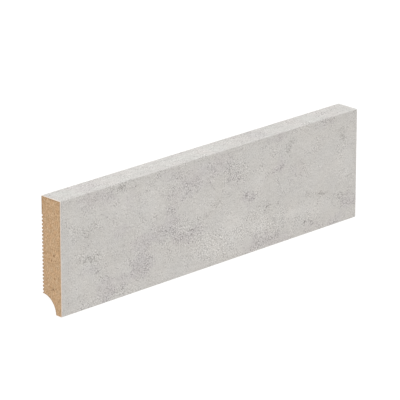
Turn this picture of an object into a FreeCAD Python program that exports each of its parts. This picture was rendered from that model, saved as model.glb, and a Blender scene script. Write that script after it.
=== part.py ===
import FreeCAD, Part
import math
import os

# Skirting board length: a moulded board sawn square at both ends and faced with a
# thin decorative laminate.  It lies on its grooved back with the decorated face up.
#   X  along the length
#   Y  across the height of the board as fitted: +Y is the top edge, -Y the foot
#   Z  through the thickness: z = 0 is the wall side, z = THICKNESS the decorated face
# The origin is under the middle of the board, on the surface that it lies on.
# All lengths in millimetres.

# ---- driving dimensions -----------------------------------------------------
LENGTH = 280.0        # sawn length
HEIGHT = 80.0         # floor to top edge, as fitted
THICKNESS = 18.0      # wall to decorated face, laminate included
LAMINATE = 0.4        # thickness of the decorative laminate
CORE_ARRIS_R = 0.2    # the board's two front corners under the laminate
COVE_R = 12.5         # quarter-round hollow along the lower back corner
GROOVE_COUNT = 22     # fine glue grooves along the back
GROOVE_PITCH = 2.5
GROOVE_FIRST = 13.6   # middle of the first groove, below the top edge
GROOVE_MOUTH = 1.5
GROOVE_DEPTH = 1.1
GROOVE_ROOT_R = 0.4   # rounded root of each groove
LAMINATE_TRIM = 0.3   # the laminate stops this far short of the wall side

# ---- derived ------------------------------------------------------------------
TOP = HEIGHT / 2.0
FOOT = -HEIGHT / 2.0
CORE_TOP = TOP - LAMINATE
CORE_FOOT = FOOT + LAMINATE
CORE_FACE = THICKNESS - LAMINATE


def at(y, z, x=0.0):
    return FreeCAD.Vector(x, y, z)


def line(a, b):
    return Part.LineSegment(a, b).toShape()


def arc(a, mid, b):
    return Part.Arc(a, mid, b).toShape()


def corner(cy, cz, r, start_deg, end_deg):
    """Quarter arc of radius r about (cy, cz), angles from +Y towards +Z."""
    def p(deg):
        t = math.radians(deg)
        return at(cy + r * math.cos(t), cz + r * math.sin(t))
    return arc(p(start_deg), p((start_deg + end_deg) / 2.0), p(end_deg))


def along_length(edges):
    """The closed section, drawn in the YZ plane, run from one sawn end to the other."""
    wire = Part.Wire(edges)
    if not wire.isClosed():
        raise ValueError("the section is open")
    face = Part.Face(wire)
    face.translate(FreeCAD.Vector(-LENGTH / 2.0, 0, 0))
    solid = face.extrude(FreeCAD.Vector(LENGTH, 0, 0))
    if not solid.isValid() or len(solid.Solids) != 1:
        raise ValueError("the section did not make one valid solid")
    return solid.Solids[0]


def groove_edges(yc):
    """One glue groove met from +Y: a V cut into the back with a rounded root."""
    half = GROOVE_MOUTH / 2.0
    # The flanks are tangent to the root circle, whose top is GROOVE_DEPTH deep.
    cz = GROOVE_DEPTH - GROOVE_ROOT_R
    reach = math.hypot(half, cz)
    # Angle, about the root circle's centre, of the tangent point on the +Y flank.
    toward = math.atan2(-cz, half)
    swing = math.acos(GROOVE_ROOT_R / reach)
    t = toward + swing
    ty, tz = GROOVE_ROOT_R * math.cos(t), cz + GROOVE_ROOT_R * math.sin(t)
    mouth_hi, mouth_lo = at(yc + half, 0), at(yc - half, 0)
    tan_hi, tan_lo = at(yc + ty, tz), at(yc - ty, tz)
    return [
        line(mouth_hi, tan_hi),
        arc(tan_hi, at(yc, GROOVE_DEPTH), tan_lo),
        line(tan_lo, mouth_lo),
    ]


# ---- the fibreboard core ------------------------------------------------------
def fibreboard_core():
    edges = []
    here = at(CORE_TOP, 0)
    for k in range(GROOVE_COUNT):
        yc = TOP - GROOVE_FIRST - k * GROOVE_PITCH
        edges.append(line(here, at(yc + GROOVE_MOUTH / 2.0, 0)))
        edges += groove_edges(yc)
        here = at(yc - GROOVE_MOUTH / 2.0, 0)
    # last land, then the quarter-round hollow about the board's lower back corner
    cove_start = at(FOOT + COVE_R, 0)
    edges.append(line(here, cove_start))
    meet = math.acos(LAMINATE / COVE_R)   # where the hollow runs out under the foot
    cove_end = at(CORE_FOOT, COVE_R * math.sin(meet))
    cove_mid = at(FOOT + COVE_R * math.cos(meet / 2.0), COVE_R * math.sin(meet / 2.0))
    edges.append(arc(cove_start, cove_mid, cove_end))
    # underside of the foot, the face and the top edge, with the two front arrises
    r = CORE_ARRIS_R
    edges.append(line(cove_end, at(CORE_FOOT, CORE_FACE - r)))
    edges.append(corner(CORE_FOOT + r, CORE_FACE - r, r, 180, 90))
    edges.append(line(at(CORE_FOOT + r, CORE_FACE), at(CORE_TOP - r, CORE_FACE)))
    edges.append(corner(CORE_TOP - r, CORE_FACE - r, r, 90, 0))
    edges.append(line(at(CORE_TOP, CORE_FACE - r), at(CORE_TOP, 0)))
    return along_length(edges)


# ---- the decorative laminate --------------------------------------------------
def decor_laminate():
    """One sheet wrapped over the top edge, the face and the underside of the foot."""
    r = CORE_ARRIS_R
    big = r + LAMINATE
    cy_top, cy_foot, cz = CORE_TOP - r, CORE_FOOT + r, CORE_FACE - r
    meet = math.acos(LAMINATE / COVE_R)
    inner_end = at(CORE_FOOT, COVE_R * math.sin(meet))
    # the laminate's lower edge follows the hollow on, to the foot's underside
    outer_end = at(FOOT, COVE_R)
    mid_angle = (meet + math.pi / 2.0) / 2.0
    end_mid = at(FOOT + COVE_R * math.cos(mid_angle), COVE_R * math.sin(mid_angle))
    edges = [
        line(at(CORE_TOP, LAMINATE_TRIM), at(CORE_TOP, cz)),
        corner(cy_top, cz, r, 0, 90),
        line(at(cy_top, CORE_FACE), at(cy_foot, CORE_FACE)),
        corner(cy_foot, cz, r, 90, 180),
        line(at(CORE_FOOT, cz), inner_end),
        arc(inner_end, end_mid, outer_end),
        line(outer_end, at(FOOT, cz)),
        corner(cy_foot, cz, big, 180, 90),
        line(at(cy_foot, THICKNESS), at(cy_top, THICKNESS)),
        corner(cy_top, cz, big, 90, 0),
        line(at(TOP, cz), at(TOP, LAMINATE_TRIM)),
        line(at(TOP, LAMINATE_TRIM), at(CORE_TOP, LAMINATE_TRIM)),
    ]
    return along_length(edges)


parts = {
    "mdf_core": fibreboard_core(),
    "decor_wrap": decor_laminate(),
}

os.makedirs("parts", exist_ok=True)
for name, shape in parts.items():
    shape.exportStep("parts/" + name + ".step")
    box = shape.BoundBox
    print(
        "%s  %.2f x %.2f x %.2f mm  z %.2f to %.2f  %.2f cm3"
        % (name, box.XLength, box.YLength, box.ZLength, box.ZMin, box.ZMax,
           shape.Volume / 1000.0)
    )
print("shared volume %.6f mm3" % parts["mdf_core"].common(parts["decor_wrap"]).Volume)
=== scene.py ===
import bpy
import math
from mathutils import Matrix, Vector

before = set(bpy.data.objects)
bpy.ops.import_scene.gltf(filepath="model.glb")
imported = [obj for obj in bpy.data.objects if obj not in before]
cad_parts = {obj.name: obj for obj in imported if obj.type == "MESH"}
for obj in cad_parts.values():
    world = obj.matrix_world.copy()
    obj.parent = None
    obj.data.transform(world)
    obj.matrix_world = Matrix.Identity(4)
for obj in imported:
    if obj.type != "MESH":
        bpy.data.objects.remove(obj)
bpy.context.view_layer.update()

# Board as it lies, in millimetres: X along the length, Y across the board's height with
# +Y at the top edge, Z out of the decorated face.
HALF_L, HALF_H, THICK = 140.0, 40.0, 18.0
LAMINATE, COVE_R = 0.4, 12.5
SCENE = bpy.context.scene


# ---------------------------------------------------------------- node helpers
class Graph:
    """A small writer for shader nodes. A value may be a number, a tuple or a socket."""

    def __init__(self, material):
        material.use_nodes = True
        self.tree = material.node_tree
        self.tree.nodes.clear()
        self.column = 0

    def node(self, kind, **settings):
        made = self.tree.nodes.new(kind)
        made.location = (self.column * 20, -(self.column % 12) * 60)
        self.column += 1
        for key, value in settings.items():
            setattr(made, key, value)
        return made

    def feed(self, socket, value):
        if isinstance(value, bpy.types.NodeSocket):
            self.tree.links.new(value, socket)
        elif value is not None:
            socket.default_value = value

    def math(self, operation, a, b=None, c=None, clamp=False):
        made = self.node("ShaderNodeMath", operation=operation, use_clamp=clamp)
        for socket, value in zip(made.inputs, (a, b, c)):
            self.feed(socket, value)
        return made.outputs[0]

    def add(self, *values):
        total = values[0]
        for value in values[1:]:
            total = self.math("ADD", total, value)
        return total

    def mul(self, a, b):
        return self.math("MULTIPLY", a, b)

    def vector(self, operation, a, b=None):
        made = self.node("ShaderNodeVectorMath", operation=operation)
        self.feed(made.inputs[0], a)
        if operation == "SCALE":
            self.feed(made.inputs[3], b)
        elif b is not None:
            self.feed(made.inputs[1], b)
        return made.outputs[1] if operation in ("LENGTH", "DISTANCE", "DOT_PRODUCT") else made.outputs[0]

    def combine(self, x, y, z):
        made = self.node("ShaderNodeCombineXYZ")
        for socket, value in zip(made.inputs, (x, y, z)):
            self.feed(socket, value)
        return made.outputs[0]

    def split(self, vector):
        made = self.node("ShaderNodeSeparateXYZ")
        self.feed(made.inputs[0], vector)
        return made.outputs[0], made.outputs[1], made.outputs[2]

    def noise(self, vector, scale, detail=2.0, rough=0.5, warp=0.0, colour=False, flat=True):
        made = self.node("ShaderNodeTexNoise", noise_dimensions="2D" if flat else "3D")
        self.feed(made.inputs["Vector"], vector)
        made.inputs["Scale"].default_value = scale
        made.inputs["Detail"].default_value = detail
        made.inputs["Roughness"].default_value = rough
        made.inputs["Distortion"].default_value = warp
        return made.outputs["Color"] if colour else made.outputs["Fac"]

    def ramp(self, value, low, high, to_low=0.0, to_high=1.0, soft=True):
        made = self.node(
            "ShaderNodeMapRange",
            interpolation_type="SMOOTHSTEP" if soft else "LINEAR",
            clamp=not soft,  # a smoothstep keeps to its ends by itself
        )
        self.feed(made.inputs["Value"], value)
        made.inputs["From Min"].default_value = low
        made.inputs["From Max"].default_value = high
        self.feed(made.inputs["To Min"], to_low)
        self.feed(made.inputs["To Max"], to_high)
        return made.outputs[0]

    def blend(self, amount, a, b):
        made = self.node("ShaderNodeMix", data_type="RGBA", clamp_factor=True)
        self.feed(made.inputs["Factor"], amount)
        a_in = [s for s in made.inputs if s.name == "A" and s.type == "RGBA"][0]
        b_in = [s for s in made.inputs if s.name == "B" and s.type == "RGBA"][0]
        self.feed(a_in, a)
        self.feed(b_in, b)
        return [s for s in made.outputs if s.type == "RGBA"][0]

    def patches(self, place, spots):
        """Soft ellipses: (x, y, half length, half width, turn in degrees, strength).
        Each is a quadric in the place, so it takes few nodes: 0 at the middle, 1 at the rim."""
        px, py, _ = self.split(place)
        squares = self.combine(self.mul(px, px), self.mul(px, py), self.mul(py, py))
        plain = self.combine(px, py, 1.0)
        total = None
        for x, y, rx, ry, turn, strength in spots:
            c, s = math.cos(math.radians(turn)), math.sin(math.radians(turn))
            a = (c / rx) ** 2 + (s / ry) ** 2
            b = 2.0 * c * s * (rx ** -2.0 - ry ** -2.0)
            d = (s / rx) ** 2 + (c / ry) ** 2
            first = self.vector("DOT_PRODUCT", squares, (a, b, d))
            rest = self.vector(
                "DOT_PRODUCT",
                plain,
                (-2.0 * a * x - b * y, -2.0 * d * y - b * x, a * x * x + b * x * y + d * y * y),
            )
            spot = self.ramp(self.math("ADD", first, rest), 0.03, 1.7, strength, 0.0)
            total = spot if total is None else self.math("ADD", total, spot)
        return total

    def linear(self, colour):
        """A colour worked out in display levels, turned into light."""
        made = self.node("ShaderNodeGamma")
        self.feed(made.inputs["Color"], colour)
        made.inputs["Gamma"].default_value = 2.2
        return made.outputs[0]

    def bump(self, height, distance, strength=1.0, normal=None):
        made = self.node("ShaderNodeBump")
        made.inputs["Strength"].default_value = strength
        made.inputs["Distance"].default_value = distance
        self.feed(made.inputs["Height"], height)
        if normal is not None:
            self.feed(made.inputs["Normal"], normal)
        return made.outputs[0]

    def finish(self, colour, roughness, normal, specular=0.5):
        shader = self.node("ShaderNodeBsdfPrincipled")
        self.feed(shader.inputs["Base Color"], colour)
        self.feed(shader.inputs["Roughness"], roughness)
        self.feed(shader.inputs["Normal"], normal)
        shader.inputs["Specular IOR Level"].default_value = specular
        out = self.node("ShaderNodeOutputMaterial")
        self.tree.links.new(shader.outputs[0], out.inputs["Surface"])
        return shader


def levels(r, g, b):
    return (r / 255.0, g / 255.0, b / 255.0)


# The levels written below are how the surfaces look under the studio light, which is a
# little brighter than one, so the pigments themselves are this much darker.
DECOR_PIGMENT, FIBRE_PIGMENT = 0.930, 0.937


def millimetres(g):
    where = g.node("ShaderNodeTexCoord").outputs["Object"]
    return g.vector("SCALE", where, 1000.0)


# ------------------------------------------------------------ decor laminate
# Concrete-look print. Places are millimetres on the unrolled sheet: along the board, and
# across it from the middle of the face, running on past +40 over the top edge.
STAINS = [
    (-111, 34, 16, 6, -4, 0.6), (-96, 30, 6, 6, 0, 0.35), (-88, 7, 8, 6, -10, 0.5),
    (-113, -13, 7, 3.5, -8, 0.4), (-101, -31, 9, 9, 0, 0.8), (-84, -28, 12, 4.5, 6, 0.5),
    (-68, -22, 11, 9, 10, 1.1), (-66, -7, 12, 6, -6, 0.8), (-47, -3, 16, 7.5, 0, 0.5),
    (-39.5, 11, 6, 14, 0, 0.55), (-46, 36, 9, 5, 0, 0.3), (-33, 31, 8, 8, 0, 0.35),
    (-26, 21, 10, 8, 10, 0.6), (-11, 28, 15, 9, 0, 0.5), (8, 32, 10, 9, 0, 0.5),
    (20, 17, 8, 8, 10, 0.45), (20, 33, 7, 8, 0, 0.05), (-26, -13, 12, 5.5, -6, 0.5), (-32, -10, 10, 6, 0, 0.4),
    (-14, -10, 8, 4, -14, 0.4), (-24, -22, 7, 5, -20, 0.2), (31, 1, 7, 4.5, 0, 0.95),
    (63, 15, 6.5, 5.5, 0, 0.85), (79, 12, 12, 4.5, -14, 0.25), (62, 37, 9, 4, 0, 0.6),
    (109, 37, 10, 5, 0, 0.35), (131, -26, 8.5, 5.5, -20, 0.7), (49, -34, 14, 6, -6, 0.7),
    (67, -37, 7, 5, 0, 0.45), (-78, 28, 8, 10, 0, 0.3), (96, -35, 11, 4, -8, 0.45),
    (119, -37, 8, 4, 0, 0.5), (34, -37, 8, 4, 0, 0.4), (79, 7, 7, 4, 0, 0.35),
    (48, 48, 9, 7, 20, 0.6), (110, 49, 9, 6, 0, 0.3), (-108, 50, 12, 7, 0, 0.5),
]
DARKS = [
    (-83, 37, 7, 2.6, -12, 1.0), (-120, 15.5, 3.4, 2.6, 0, 0.9), (-116, 10, 4.5, 3, -20, 0.9),
    (-115, -5.4, 9, 2.2, -11, 1.4), (-107, -16, 3, 3.8, -35, 0.75), (-99, -25, 4, 3, 0, 0.4),
    (-64, -23, 5, 5, 0, 0.4), (-64, -12, 4, 2, 0, 0.6), (-40, 4, 2.6, 7, 0, 0.45),
    (-38.5, -2, 3.4, 2, 0, 0.3), (-27, -13, 6, 2.2, -4, 0.35), (-19, -8.4, 6, 1.8, -6, 0.5),
    (-25, 14, 3.5, 2.5, 0, 0.5), (-30, 38.5, 5, 1.8, 0, 0.3), (8, 31, 4, 3.6, 0, 0.4),
    (20, 17, 4.5, 4, 0, 0.45), (26.5, 25, 3.6, 2.2, 30, 0.7), (33, 2, 5, 2.4, 0, 0.25),
    (63.5, 15.5, 3.6, 2.6, 0, 0.9), (74, 29.4, 7, 3, 18, 2.4), (56, 10, 2.6, 2, 0, 0.5),
    (126, 25.5, 5, 3.4, 0, 1.1), (132, -26, 4.5, 3.0, -30, 0.3), (118, -20, 7, 1.8, -10, 1.0),
    (103, -13.8, 7, 2.0, -3, 1.4), (94, -11.4, 8, 1.6, -14, 1.0), (53, -12.4, 10, 1.9, -3, 0.6),
    (65, -8, 7, 1.8, 14, 1.1), (41, -8, 6, 1.8, -20, 0.6), (50, -33.5, 6, 2.8, -8, 0.35),
    (94, -32.5, 10, 2.0, -10, 0.95), (3.8, 4, 3, 1.8, -10, 0.8), (-67, 12.4, 3.4, 2.6, 0, 0.6),
    (108.5, 9, 3, 2.2, 0, 0.7), (82, 0, 4, 2.2, 0, 0.4), (-8, -1.6, 11, 2.0, -4, 0.8),
    (-12, -26, 3.5, 1.2, -10, 0.5), (-43, -28, 5, 1.4, 0, 0.5), (-22, -31, 4, 1.4, 0, 0.6),
    (-99, 21, 2, 1.5, 0, 0.5), (-128, -30, 7, 1.6, 20, 0.9), (44, 43, 4, 2, 0, 0.9),
    (108, 43.5, 5, 2, 0, 0.7), (62, 20, 3, 1.2, 30, 0.4), (-20, 31, 5, 2, 10, 0.4),
]
# paler places, and duller ones below zero
LIGHTS = [
    (17, -17, 13, 11, 0, 1.4), (20, -30, 26, 7, 0, 0.8), (90, -29, 14, 6, 0, 0.6), (-57, 20, 8, 13, 6, 0.8), (-7, -26, 15, 8, 0, 1.2),
    (73, -19, 15, 5, -4, 0.9), (-126, -20, 10, 8, 0, 0.6), (42, 8, 7, 9, 0, 0.8), (20, -5, 22, 10, 0, 0.35),
    (-16, 4, 12, 5, 0, 0.5), (102, -23, 12, 5, 0, 0.75), (-84, 26, 12, 6, 0, 0.5),
    (-8, -15, 6, 3, 0, 0.5), (47, -26, 10, 4, 0, 0.8), (92, 24, 10, 7, 0, 0.35),
    (-50, -34, 8, 4, 0, 0.5), (-22, -34, 9, 4, 0, 0.5), (42, -20, 12, 7, 0, 1.3),
    (100, 0, 17, 10, 0, 0.6), (128, 5, 9, 13, 0, 1.0), (84, -20, 16, 5, 0, 0.65), (112, -22, 12, 6, 0, 0.3),
    (-116, 11, 14, 8, 0, -1.0), (-90, -7, 12, 8, 0, -0.5), (-80, 33, 11, 5, 0, -0.5), (-4, 17, 9, 6, 0, -0.5), (55, 34, 11, 5, 0, -0.5),
    (-62, -13, 7, 3, 0, -0.5), (-46, -9, 8, 4, 0, -0.6), (-103, 0, 8, 5, 0, -0.4), (84, 0, 8, 4, 0, -0.3), (102, -11, 12, 3, -4, -0.2), (-15, 50, 42, 8, 0, 0.4), (96, 50, 40, 8, 0, 0.4), (-139, 0, 7, 46, 0, -0.6),
]
GRAINY = [
    (-32, -9, 22, 11, -6, 0.9), (17, 23, 16, 11, 0, 1.4), (-26, 23, 9, 11, 0, 0.6),
    (-123, 13, 9, 6, 0, 0.8), (-117, -4, 13, 6, -8, 0.8), (-86, 37, 16, 6, 0, 0.7),
    (54, -30, 16, 9, 0, 1.1), (4, 4, 6, 4, 0, 0.8), (70, 28, 9, 6, 10, 0.7),
    (61, 15, 8, 6, 0, 0.6), (128, -24, 9, 7, 0, 0.7), (2, -26, 26, 11, 0, 0.9), (36, -20, 30, 10, 0, 0.7),
    (33, 2, 9, 6, 0, 0.9), (88, -29, 14, 7, 0, 0.8), (-106, -18, 9, 9, 0, 0.6),
    (-66, -18, 16, 9, 0, 0.5), (-40, 22, 8, 16, 0, 0.5), (-100, -36, 40, 6, 0, 0.6),
    (94, -12, 10, 4, -10, 0.5), (127, 20, 8, 8, 0, 0.4), (-55, 38, 8, 4, 0, 0.6),
    (108, 38, 14, 5, 0, 0.5), (45, -12, 14, 6, 0, 0.4), (10, 50, 150, 11, 0, 0.4),
    (-12, -22, 20, 10, 0, 0.45),
]


def decor_material(material):
    g = Graph(material)
    mm = millimetres(g)
    x, y, z = g.split(mm)
    over = g.math("SUBTRACT", THICK, z)
    sheet_v = g.add(y, g.mul(g.math("SIGN", y), over))
    place = g.combine(x, sheet_v, 0.0)

    # ragged outlines: the stains are looked up through two scales of wander
    wander_big = g.vector("SUBTRACT", g.noise(place, 0.11, 3.0, 0.6, colour=True), (0.5, 0.5, 0.5))
    wander_small = g.vector("SUBTRACT", g.noise(place, 0.5, 3.0, 0.65, colour=True), (0.5, 0.5, 0.5))
    ragged = g.vector("ADD", place, g.vector("SCALE", wander_big, 14.0))
    ragged = g.vector("ADD", ragged, g.vector("SCALE", wander_small, 6.0))

    stain = g.patches(ragged, STAINS)
    dark = g.patches(ragged, DARKS)
    light = g.patches(ragged, LIGHTS)
    grainy = g.patches(ragged, GRAINY)

    # cloudiness of the print itself
    along = g.vector("MULTIPLY", place, (0.55, 1.0, 1.0))
    clouds = g.math("SUBTRACT", g.noise(place, 0.045, 4.0, 0.55, 0.4), 0.5)
    drift = g.math("SUBTRACT", g.noise(along, 0.16, 3.0, 0.6, 0.6), 0.5)
    mottle = g.math("SUBTRACT", g.noise(along, 0.4, 3.0, 0.6), 0.5)
    turned = g.node("ShaderNodeVectorRotate", rotation_type="Z_AXIS")
    g.feed(turned.inputs["Vector"], place)
    turned.inputs["Angle"].default_value = math.radians(9.0)
    drawn = g.vector("MULTIPLY", turned.outputs[0], (0.2, 1.0, 1.0))
    trowel = g.math("SUBTRACT", g.noise(drawn, 0.42, 3.0, 0.6, 0.8), 0.5)

    # clumps carve the stains and the dark spots into open, broken shapes
    clump = g.math("SUBTRACT", g.noise(place, 0.17, 5.0, 0.7), 0.5)
    crumb = g.math("SUBTRACT", g.noise(place, 0.55, 3.0, 0.65), 0.5)
    carve = g.add(g.mul(clump, 2.6), g.mul(crumb, 1.5))
    soft_stain = g.ramp(g.add(stain, g.mul(carve, 0.5)), -0.15, 0.95)
    stain = g.ramp(g.add(stain, carve), 0.08, 0.9)
    dark = g.ramp(g.add(dark, g.mul(carve, 0.8)), 0.3, 1.3)
    sandy = g.math("SUBTRACT", g.noise(place, 0.085, 4.0, 0.62), 0.5)
    grainy = g.ramp(g.add(g.mul(grainy, 0.8), g.mul(sandy, 3.2), g.mul(crumb, 1.4)), -0.27, 1.1)

    # grains: dark ones crowd together in the stains, pale ones stand between them; they are
    # looked up askew, so that their lattice doesn't line up with the board
    askew = g.node("ShaderNodeVectorRotate", rotation_type="Z_AXIS")
    g.feed(askew.inputs["Vector"], place)
    askew.inputs["Angle"].default_value = math.radians(31.0)
    grain = g.add(g.mul(g.noise(askew.outputs[0], 0.95, 4.0, 0.72), 1.35), -0.175)
    fine = g.noise(askew.outputs[0], 1.45, 4.0, 0.72)
    level = g.add(0.40, g.mul(stain, 0.045), g.mul(dark, 0.06), g.mul(grainy, 0.03))
    below = g.math("SUBTRACT", grain, level)
    dark_grain = g.ramp(below, 0.06, -0.12)
    dark_depth = g.add(13.0, g.mul(stain, 16.0), g.mul(dark, 10.0), g.mul(grainy, 28.0))
    pale_grain = g.ramp(grain, 0.53, 0.70)
    pale_depth = g.add(6.0, g.mul(grainy, 16.0))

    # the top edge is a little livelier, and the face carries a painted shade where it nears the top arris
    over_top = g.ramp(sheet_v, 39.6, 40.6)
    fine_depth = g.add(72.0, g.mul(grainy, 46.0), g.mul(stain, 14.0), g.mul(over_top, 14.0))
    arris_painted_shade = g.mul(g.ramp(sheet_v, 32.0, 38.5), g.ramp(sheet_v, 40.35, 39.9))

    tone = g.add(
        g.mul(clouds, 6.0),
        g.mul(drift, 6.0),
        g.mul(g.add(g.mul(mottle, 17.0), g.mul(trowel, 11.0)), g.add(1.0, g.mul(over_top, 0.95))),
        g.mul(light, 5.4),
        g.mul(dark_grain, g.mul(dark_depth, -1.0)),
        g.mul(pale_grain, pale_depth),
        g.mul(g.math("SUBTRACT", fine, 0.5), fine_depth),
        g.mul(dark, -5.0),
        g.mul(soft_stain, -4.1),
        # painted shade on the face just below the top arris
        g.mul(arris_painted_shade, -3.0),
        g.mul(over_top, 0.5),
    )
    tone_rgb = g.vector("SCALE", (1.0 / 255.0, 1.0 / 255.0, 1.0 / 255.0), tone)
    stain_rgb = g.vector("SCALE", levels(0.0, -1.35, 1.4), soft_stain)
    # warm and cool drift, as in the print
    hue = g.math("SUBTRACT", g.noise(g.vector("ADD", place, (90.0, -40.0, 0.0)), 0.06, 3.0, 0.5), 0.5)
    hue_rgb = g.vector("SCALE", levels(2.4, 0.2, -2.4), hue)
    pink_rgb = g.vector("SCALE", levels(3.0, -1.8, 1.4), g.mul(hue, over_top))
    colour = g.vector("ADD", levels(202.9, 198.6, 192.7), tone_rgb)
    colour = g.vector("ADD", colour, stain_rgb)
    colour = g.vector("ADD", colour, hue_rgb)
    colour = g.vector("ADD", colour, pink_rgb)

    # the sheet's cut edges show its paler core: at both sawn ends, along the trim under the
    # top edge, and where it runs out into the hollow
    nibble = g.mul(g.math("SUBTRACT", g.noise(mm, 0.8, 3.0, 0.65, flat=False), 0.5), 0.9)
    from_end = g.math("SUBTRACT", HALF_L, g.math("ABSOLUTE", x))
    # the cut colour reaches a little onto the surfaces at the left end, and barely at the right
    at_end = g.mul(g.ramp(g.add(from_end, nibble), 0.5, 0.2), g.ramp(x, -1.0, 1.0, 0.8, 0.12))
    trimmed = g.mul(g.ramp(z, 0.36, 0.32), g.ramp(y, 0.0, 1.0))
    out = g.vector("DISTANCE", g.combine(0.0, y, z), (0.0, -HALF_H, 0.0))
    hollow = g.mul(g.ramp(out, COVE_R + 0.06, COVE_R + 0.02), g.ramp(y, 0.0, -1.0))
    sawn = g.ramp(from_end, 0.03, 0.005)
    cut = g.math("MAXIMUM", g.math("MAXIMUM", at_end, sawn), g.math("MAXIMUM", trimmed, hollow))
    cut_tone = g.mul(g.math("SUBTRACT", g.noise(mm, 2.5, 3.0, 0.6, flat=False), 0.5), 30.0)
    # paler still near the top arris
    cut_tone = g.add(cut_tone, g.ramp(y, 38.8, 39.6, 0.0, 12.0))
    cut_rgb = g.vector("ADD", levels(228.0, 211.0, 196.0), g.vector("SCALE", (1 / 255.0, 1 / 255.0, 1 / 255.0), cut_tone))
    colour = g.blend(cut, colour, cut_rgb)

    rough = g.add(0.56, g.mul(dark_grain, 0.1), g.mul(g.math("SUBTRACT", fine, 0.5), 0.25), g.mul(cut, 0.2))
    # the pressed relief follows the print's grains only, which keeps its graph short
    pits = g.ramp(grain, 0.42, 0.3)
    relief = g.add(g.mul(grain, 0.4), g.mul(fine, 0.35), g.mul(pits, -0.7))
    normal = g.bump(relief, 0.000035, 0.8)
    g.finish(g.linear(g.vector("SCALE", colour, DECOR_PIGMENT)), rough, normal, 0.4)


# ------------------------------------------------------------ fibreboard
# dark slivers in the sawn end: across the board from its middle, up from the wall side
SLIVERS = [
    (1.0, 11.3, 0.75, 0.4, 25, 1.0), (-3.0, 8.8, 0.9, 0.35, -12, 1.0), (-2.3, 6.6, 0.5, 0.3, 20, 0.7),
    (-22.6, 9.9, 0.55, 0.5, 30, 1.0), (-23.5, 8.8, 0.45, 0.35, 0, 0.7), (-21.9, 13.1, 0.5, 0.35, 0, 0.7),
    (-15.0, 12.0, 0.7, 0.4, 0, 0.5), (-2.5, 12.4, 0.4, 0.3, 0, 0.6), (-29.8, 15.6, 0.5, 0.4, 10, 0.6),
    (33.4, 5.4, 0.8, 0.3, 60, 0.35), (30.2, 12.5, 0.6, 0.4, 0, 0.45), (9.5, 4.5, 0.5, 0.3, 0, 0.4),
]


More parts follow.
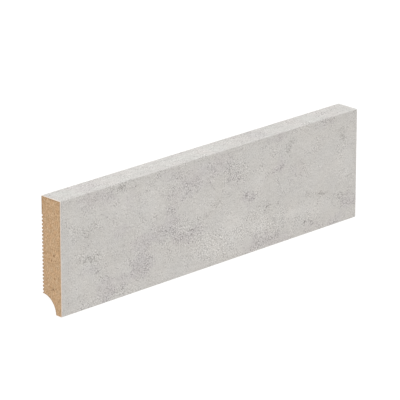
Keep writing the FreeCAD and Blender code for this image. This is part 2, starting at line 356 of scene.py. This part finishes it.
def fibre_material(material):
    g = Graph(material)
    mm = millimetres(g)
    x, y, z = g.split(mm)
    at_end = g.ramp(g.math("ABSOLUTE", x), HALF_L - 0.3, HALF_L - 0.1)

    # sawn end, seen along the board: fibres lie in the plane of the panel
    section = g.combine(y, z, 0.0)
    side = g.math("SIGN", x)
    section = g.vector("ADD", section, g.vector("SCALE", (37.0, 19.0, 0.0), g.ramp(side, -0.5, 0.5)))
    layered = g.vector("MULTIPLY", section, (0.62, 1.0, 1.0))
    blotch = g.math("SUBTRACT", g.noise(layered, 0.42, 3.0, 0.6), 0.5)
    fluff = g.math("SUBTRACT", g.noise(layered, 1.15, 5.0, 0.74, 0.2), 0.5)
    dust = g.math("SUBTRACT", g.noise(g.vector("MULTIPLY", section, (0.42, 1.25, 1.0)), 4.6, 4.0, 0.75), 0.5)
    fibre = g.noise(g.vector("MULTIPLY", section, (0.5, 1.9, 1.0)), 1.5, 3.0, 0.75, 0.6)
    slivers_wild = g.ramp(fibre, 0.69, 0.79)
    tufts = g.ramp(fibre, 0.33, 0.24)
    wander = g.vector("SUBTRACT", g.noise(section, 1.6, 2.0, 0.6, colour=True), (0.5, 0.5, 0.5))
    placed = g.patches(g.vector("ADD", g.combine(y, z, 0.0), g.vector("SCALE", wander, 1.1)), SLIVERS)
    placed = g.mul(placed, g.ramp(x, 0.0, -1.0))

    # faint arcs of the saw
    saw_from = g.vector("DISTANCE", g.combine(y, z, 0.0), (-40.0, -150.0, 0.0))
    saw = g.math("SINE", g.add(g.mul(saw_from, 5.2), g.mul(blotch, 7.0)))

    # denser, darker skins of the panel, the glue line under the sheet, and a painted shade along the edge of the
    # hollow and the back edge, where no sheet lies
    skin = g.add(g.ramp(z, 2.2, 0.0), g.ramp(z, 15.0, 17.6))
    out = g.vector("DISTANCE", g.combine(0.0, y, z), (0.0, -HALF_H, 0.0))
    rim = g.math("MAXIMUM", g.ramp(y, 38.6, 39.4), g.ramp(z, 16.9, 17.5, 0.0, 0.7))
    # painted shade: a dark line along the edge of the hollow, and on the next line along the back edge
    rim = g.math("MAXIMUM", rim, g.ramp(out, COVE_R + 0.8, COVE_R + 0.1))
    rim = g.math("MAXIMUM", rim, g.ramp(z, 0.9, 0.2))
    end_tone = g.add(
        g.mul(blotch, 34.0), g.mul(fluff, 162.0), g.mul(dust, 100.0), g.mul(saw, 1.2),
        g.mul(slivers_wild, -16.0), g.mul(tufts, 9.0), g.mul(placed, -85.0),
        # the rim term darkens the glue line and paints shade along the hollow and the back edge
        g.mul(skin, -2.5), g.mul(rim, -24.0), g.ramp(z, 2.2, 0.3, 0.0, -6.0), g.ramp(y, 26.0, 39.0, 0.0, -3.5),
    )
    end_rgb = g.vector("ADD", levels(193.5, 160.0, 124.3), g.vector("SCALE", levels(1.0, 1.0, 0.98), end_tone))
    redder = g.math("SUBTRACT", g.noise(g.vector("ADD", section, (11.0, 7.0, 0.0)), 0.3, 2.0, 0.5), 0.5)
    end_rgb = g.vector("ADD", end_rgb, g.vector("SCALE", levels(9.0, -4.0, -12.0), redder))

    # machined surfaces: the same fibres, packed and drawn along the board by the cutters
    drawn = g.vector("MULTIPLY", mm, (0.06, 1.0, 1.0))
    short = g.vector("MULTIPLY", mm, (0.35, 1.0, 1.0))
    lines = g.math("SUBTRACT", g.noise(drawn, 2.2, 3.0, 0.6, flat=False), 0.5)
    felt = g.math("SUBTRACT", g.noise(short, 1.3, 4.0, 0.7, flat=False), 0.5)
    cloud = g.math("SUBTRACT", g.noise(mm, 0.06, 3.0, 0.6, flat=False), 0.5)
    speck = g.ramp(g.noise(g.vector("MULTIPLY", mm, (0.5, 1.3, 1.3)), 1.9, 3.0, 0.75, flat=False), 0.68, 0.78)
    chatter = g.math("SINE", g.add(g.mul(x, 3.6), g.mul(cloud, 6.0)))
    side_tone = g.add(
        g.mul(lines, 16.0), g.mul(felt, 34.0), g.mul(cloud, 16.0), g.mul(speck, -24.0), g.mul(chatter, 0.7)
    )
    side_rgb = g.vector("ADD", levels(188.0, 156.0, 121.0), g.vector("SCALE", levels(1.0, 1.0, 0.98), side_tone))

    colour = g.blend(at_end, side_rgb, end_rgb)
    rough = g.add(0.82, g.mul(at_end, 0.08), g.mul(felt, 0.2))
    end_relief = g.add(g.mul(fluff, 1.0), g.mul(dust, 0.8), g.mul(placed, -0.6), g.mul(slivers_wild, -0.4), g.mul(saw, 0.05))
    side_relief = g.add(g.mul(lines, 0.6), g.mul(felt, 0.6), g.mul(speck, -0.3), g.mul(chatter, 0.03))
    relief = g.node("ShaderNodeMix", data_type="FLOAT")
    g.feed(relief.inputs[0], at_end)
    g.feed(relief.inputs[2], side_relief)
    g.feed(relief.inputs[3], end_relief)
    normal = g.bump(relief.outputs[0], 0.00012, 0.8)
    g.finish(g.linear(g.vector("SCALE", colour, FIBRE_PIGMENT)), rough, normal, 0.25)


def take(node, name, build):
    made = bpy.data.materials.new(name)
    build(made)
    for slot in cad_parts[node].material_slots:
        slot.material = made


take("decor_wrap", "decor_laminate_concrete", decor_material)
take("mdf_core", "fibreboard_sawn", fibre_material)


# ------------------------------------------------------------ edges and shading
def soften(node, width, angle=30.0):
    """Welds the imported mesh, rounds its sharp edges a hair and shades curves smooth."""
    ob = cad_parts[node]
    weld = ob.modifiers.new("weld", "WELD")
    weld.merge_threshold = 1e-6
    round_off = ob.modifiers.new("arris", "BEVEL")
    round_off.width = width
    round_off.segments = 2
    round_off.limit_method = "ANGLE"
    round_off.angle_limit = math.radians(40.0)
    round_off.use_clamp_overlap = True
    tree = bpy.data.node_groups.new("shade_" + node, "GeometryNodeTree")
    tree.interface.new_socket("Geometry", in_out="INPUT", socket_type="NodeSocketGeometry")
    tree.interface.new_socket("Geometry", in_out="OUTPUT", socket_type="NodeSocketGeometry")
    start, end = tree.nodes.new("NodeGroupInput"), tree.nodes.new("NodeGroupOutput")
    drop = tree.nodes.new("GeometryNodeRemoveAttribute")
    drop.inputs["Name"].default_value = "custom_normal"
    faces = tree.nodes.new("GeometryNodeSetShadeSmooth")
    faces.domain = "FACE"
    faces.inputs["Shade Smooth"].default_value = True
    edges = tree.nodes.new("GeometryNodeSetShadeSmooth")
    edges.domain = "EDGE"
    edges.inputs["Shade Smooth"].default_value = False
    turn = tree.nodes.new("GeometryNodeInputMeshEdgeAngle")
    sharp = tree.nodes.new("FunctionNodeCompare")
    sharp.data_type = "FLOAT"
    sharp.operation = "GREATER_THAN"
    sharp.inputs[1].default_value = math.radians(angle)
    link = tree.links.new
    link(start.outputs[0], drop.inputs["Geometry"])
    link(drop.outputs[0], faces.inputs["Geometry"])
    link(faces.outputs[0], edges.inputs["Geometry"])
    link(turn.outputs["Unsigned Angle"], sharp.inputs[0])
    link(sharp.outputs[0], edges.inputs["Selection"])
    link(edges.outputs[0], end.inputs[0])
    shade = ob.modifiers.new("shade", "NODES")
    shade.node_group = tree


soften("mdf_core", 0.00010)
soften("decor_wrap", 0.00005)


# ------------------------------------------------------------ floor, light, camera
def floor():
    half = 30.0
    mesh = bpy.data.meshes.new("floor")
    z = -0.00001
    mesh.from_pydata([(-half, -half, z), (half, -half, z), (half, half, z), (-half, half, z)], [], [(0, 1, 2, 3)])
    ob = bpy.data.objects.new("floor", mesh)
    SCENE.collection.objects.link(ob)
    material = bpy.data.materials.new("floor_white")
    material.use_nodes = True
    nodes, links = material.node_tree.nodes, material.node_tree.links
    nodes.clear()
    matt = nodes.new("ShaderNodeBsdfDiffuse")
    matt.inputs["Color"].default_value = (0.22, 0.22, 0.22, 1.0)
    glow = nodes.new("ShaderNodeEmission")
    glow.inputs["Color"].default_value = (1.0, 1.0, 1.0, 1.0)
    glow.inputs["Strength"].default_value = 0.87
    both = nodes.new("ShaderNodeAddShader")
    out = nodes.new("ShaderNodeOutputMaterial")
    links.new(matt.outputs[0], both.inputs[0])
    links.new(glow.outputs[0], both.inputs[1])
    links.new(both.outputs[0], out.inputs["Surface"])
    mesh.materials.append(material)


def softbox(name, toward, distance, size, power, colour, aim=(0.0, 0.0, 0.009)):
    data = bpy.data.lights.new(name, "AREA")
    data.shape = "DISK"
    data.size = size
    data.energy = power
    data.color = colour
    ob = bpy.data.objects.new(name, data)
    way = Vector(toward).normalized()
    ob.location = Vector(aim) + way * distance
    ob.rotation_mode = "QUATERNION"
    ob.rotation_quaternion = way.to_track_quat("Z", "Y")
    SCENE.collection.objects.link(ob)
    return ob


floor()
softbox("key", (-0.30, 0.89, 0.33), 3.4, 2.2, 42.0, (0.84, 0.92, 1.0))

world = bpy.data.worlds.new("studio")
world.use_nodes = True
world.node_tree.nodes["Background"].inputs["Color"].default_value = (1.0, 1.0, 1.0, 1.0)
world.node_tree.nodes["Background"].inputs["Strength"].default_value = 1.0
SCENE.world = world
SCENE.view_settings.view_transform = "Standard"
SCENE.view_settings.look = "None"
SCENE.view_settings.exposure = 0.0
SCENE.view_settings.gamma = 1.0


def camera():
    """The photograph sees the board stood up, from its left end, a little above it. The
    board lies on its back here, so the same sight line comes from above the floor, with
    the picture's up along the board's height."""
    azimuth, elevation = math.radians(-44.515), math.radians(19.237)
    distance, across, up = 2.230, -0.003623, 0.004399
    back = Vector((
        math.sin(azimuth) * math.cos(elevation),
        math.sin(elevation),
        math.cos(azimuth) * math.cos(elevation),
    ))
    right = Vector((0.0, 1.0, 0.0)).cross(back).normalized()
    top = back.cross(right)
    data = bpy.data.cameras.new("camera")
    data.sensor_fit = "HORIZONTAL"
    data.sensor_width = 36.0
    data.lens = 36.0 * 3296.25 / 400.0
    data.clip_start, data.clip_end = 0.05, 100.0
    ob = bpy.data.objects.new("camera", data)
    middle = Vector((0.0, 0.0, THICK / 2000.0))
    ob.matrix_world = Matrix.Translation(middle + back * distance + right * across + top * up) @ Matrix(
        (right, top, back)
    ).transposed().to_4x4()
    SCENE.collection.objects.link(ob)
    SCENE.camera = ob


camera()
